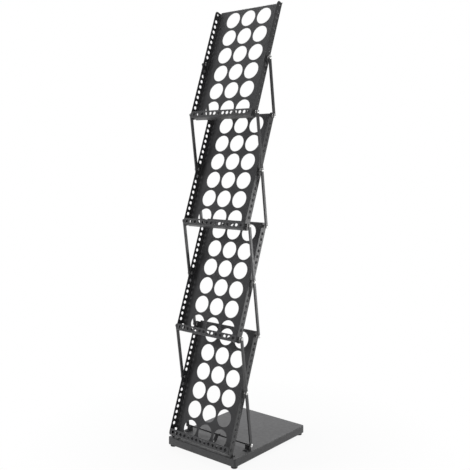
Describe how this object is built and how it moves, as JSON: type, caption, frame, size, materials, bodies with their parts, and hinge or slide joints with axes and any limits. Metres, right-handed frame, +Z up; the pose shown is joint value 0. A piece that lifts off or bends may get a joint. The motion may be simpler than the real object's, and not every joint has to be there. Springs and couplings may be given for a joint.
{
  "type": "folding zigzag literature rack",
  "caption": "Tall folding zigzag rack: perforated steel trays lean back in a scissor linkage over a low box base, each holding brochures or magazines upright.",
  "frame": {"origin": "on the floor, in the middle of the footprint", "axes": "+Z up, front towards -Y, +X to the right as seen from the front"},
  "size_m": [0.273, 0.3676, 1.3626],
  "materials": {
    "tray_paint": "satin powder coat",
    "bar_paint": "satin powder coat",
    "base_paint": "fine textured powder coat",
    "core_board": "raw fibreboard",
    "foot_rubber": "matte",
    "black_steel": "semi-gloss black",
    "black_plastic": "matte moulded",
    "zinc_steel": "zinc plated"
  },
  "bodies": {
    "base": {"base_cover": "base_paint", "base_core": "core_board", "base_feet": "foot_rubber", "hinge_bracket_right": "black_steel", "hinge_bracket_left": "black_steel", "hinge_pins": "black_steel", "hinge_screws": "black_steel", "rod_rest_right": "black_plastic", "rod_rest_left": "black_plastic", "rest_screws": "black_steel", "rod_catch": "black_steel", "catch_screw": "zinc_steel"},
    "tray_4": {"tray_4": "tray_paint", "flange_right_4": "tray_paint", "flange_left_4": "tray_paint", "lip_4": "tray_paint", "rivets_middle_4": "zinc_steel", "bushings_middle_4": "zinc_steel", "rivets_rear_4": "zinc_steel", "bushings_rear_4": "zinc_steel"},
    "bars_4": {"bar_right_4": "bar_paint", "bar_left_4": "bar_paint", "cross_rod": "black_steel", "rod_caps": "zinc_steel"},
    "tray_3": {"tray_3": "tray_paint", "flange_right_3": "tray_paint", "flange_left_3": "tray_paint", "lip_3": "tray_paint", "rivets_middle_3": "zinc_steel", "bushings_middle_3": "zinc_steel", "rivets_front_3": "zinc_steel", "bushings_front_3": "zinc_steel", "rivets_rear_3": "zinc_steel", "bushings_rear_3": "zinc_steel"},
    "bars_3": {"bar_right_3": "bar_paint", "bar_left_3": "bar_paint"},
    "tray_2": {"tray_2": "tray_paint", "flange_right_2": "tray_paint", "flange_left_2": "tray_paint", "lip_2": "tray_paint", "rivets_middle_2": "zinc_steel", "bushings_middle_2": "zinc_steel", "rivets_front_2": "zinc_steel", "bushings_front_2": "zinc_steel", "rivets_rear_2": "zinc_steel", "bushings_rear_2": "zinc_steel"},
    "bars_2": {"bar_right_2": "bar_paint", "bar_left_2": "bar_paint"},
    "tray_1": {"tray_1": "tray_paint", "flange_right_1": "tray_paint", "flange_left_1": "tray_paint", "lip_1": "tray_paint", "rivets_middle_1": "zinc_steel", "bushings_middle_1": "zinc_steel", "rivets_front_1": "zinc_steel", "bushings_front_1": "zinc_steel"},
    "bars_1": {"bar_right_1": "bar_paint", "bar_left_1": "bar_paint"}
  },
  "joints": [
    {"name": "fold", "type": "hinge", "parent": "base", "child": "tray_4", "pos_m": [0, -0.16915, 0.0545], "axis": [-1, 0, 0], "range_deg": [0, 63], "deforming": ["rod_catch"]},
    {"name": "bars_4_turn", "type": "hinge", "parent": "tray_4", "child": "bars_4", "pos_m": [0, -0.11218, 0.21361], "axis": [1, 0, 0], "range_deg": [0, 142]},
    {"name": "tray_3_turn", "type": "hinge", "parent": "bars_4", "child": "tray_3", "pos_m": [0, -0.1357, 0.38096], "axis": [-1, 0, 0], "range_deg": [0, 142]},
    {"name": "bars_3_turn", "type": "hinge", "parent": "tray_3", "child": "bars_3", "pos_m": [0, -0.07874, 0.54007], "axis": [1, 0, 0], "range_deg": [0, 142]},
    {"name": "tray_2_turn", "type": "hinge", "parent": "bars_3", "child": "tray_2", "pos_m": [0, -0.10226, 0.70743], "axis": [-1, 0, 0], "range_deg": [0, 142]},
    {"name": "bars_2_turn", "type": "hinge", "parent": "tray_2", "child": "bars_2", "pos_m": [0, -0.04529, 0.86654], "axis": [1, 0, 0], "range_deg": [0, 142]},
    {"name": "tray_1_turn", "type": "hinge", "parent": "bars_2", "child": "tray_1", "pos_m": [0, -0.06881, 1.03389], "axis": [-1, 0, 0], "range_deg": [0, 142]},
    {"name": "bars_1_turn", "type": "hinge", "parent": "tray_1", "child": "bars_1", "pos_m": [0, -0.01184, 1.193], "axis": [1, 0, 0], "range_deg": [0, 142]}
  ],
  "couplings": [
    {"joint": "bars_4_turn", "follows": "fold", "ratio": 2.25},
    {"joint": "tray_3_turn", "follows": "fold", "ratio": 2.25},
    {"joint": "bars_3_turn", "follows": "fold", "ratio": 2.25},
    {"joint": "tray_2_turn", "follows": "fold", "ratio": 2.25},
    {"joint": "bars_2_turn", "follows": "fold", "ratio": 2.25},
    {"joint": "tray_1_turn", "follows": "fold", "ratio": 2.25},
    {"joint": "bars_1_turn", "follows": "fold", "ratio": 2.25}
  ]
}
